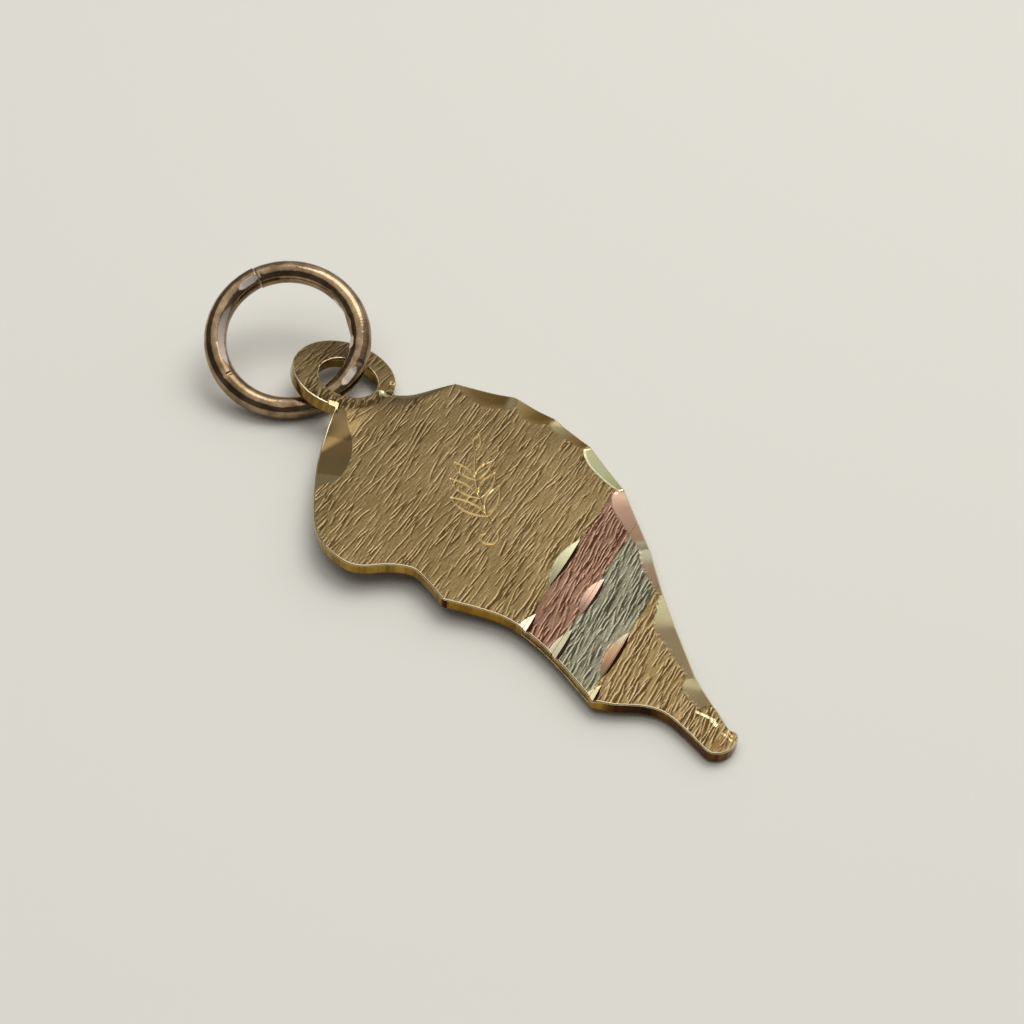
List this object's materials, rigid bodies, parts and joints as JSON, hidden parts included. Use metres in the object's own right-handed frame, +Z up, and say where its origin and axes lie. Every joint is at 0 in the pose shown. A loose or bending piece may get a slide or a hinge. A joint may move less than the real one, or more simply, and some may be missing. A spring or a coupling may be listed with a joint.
{
  "type": "pendant charm",
  "caption": "Flat leaf-shaped gold charm with a drilled hanging tab, slanting rose and white gold strips across its tail, bright-cut edges and a loose wire jump ring.",
  "frame": {"origin": "middle of the bounding box's base, on the surface that the pendant lies on", "axes": "+Y along the charm from its tail tip to the jump ring, +X across it with the engraved face up, +Z up"},
  "size_m": [0.0102, 0.0256, 0.0031],
  "materials": {
    "yellow_gold": "brushed, with polished bright cuts",
    "rose_gold": "brushed",
    "white_gold": "brushed",
    "ring_gold": "drawn wire, polished and worn"
  },
  "bodies": {
    "charm": {"charm_plate": "yellow_gold", "rose_gold_inlay": "rose_gold", "white_gold_inlay": "white_gold"},
    "ring": {"jump_ring": "ring_gold"}
  },
  "joints": [
    {"name": "ring_swing", "type": "hinge", "parent": "charm", "child": "ring", "pos_m": [0.00025, 0.00767, 0.00082], "axis": [0.8162, 0.0939, 0.5701], "range_deg": [-12, 88]}
  ]
}
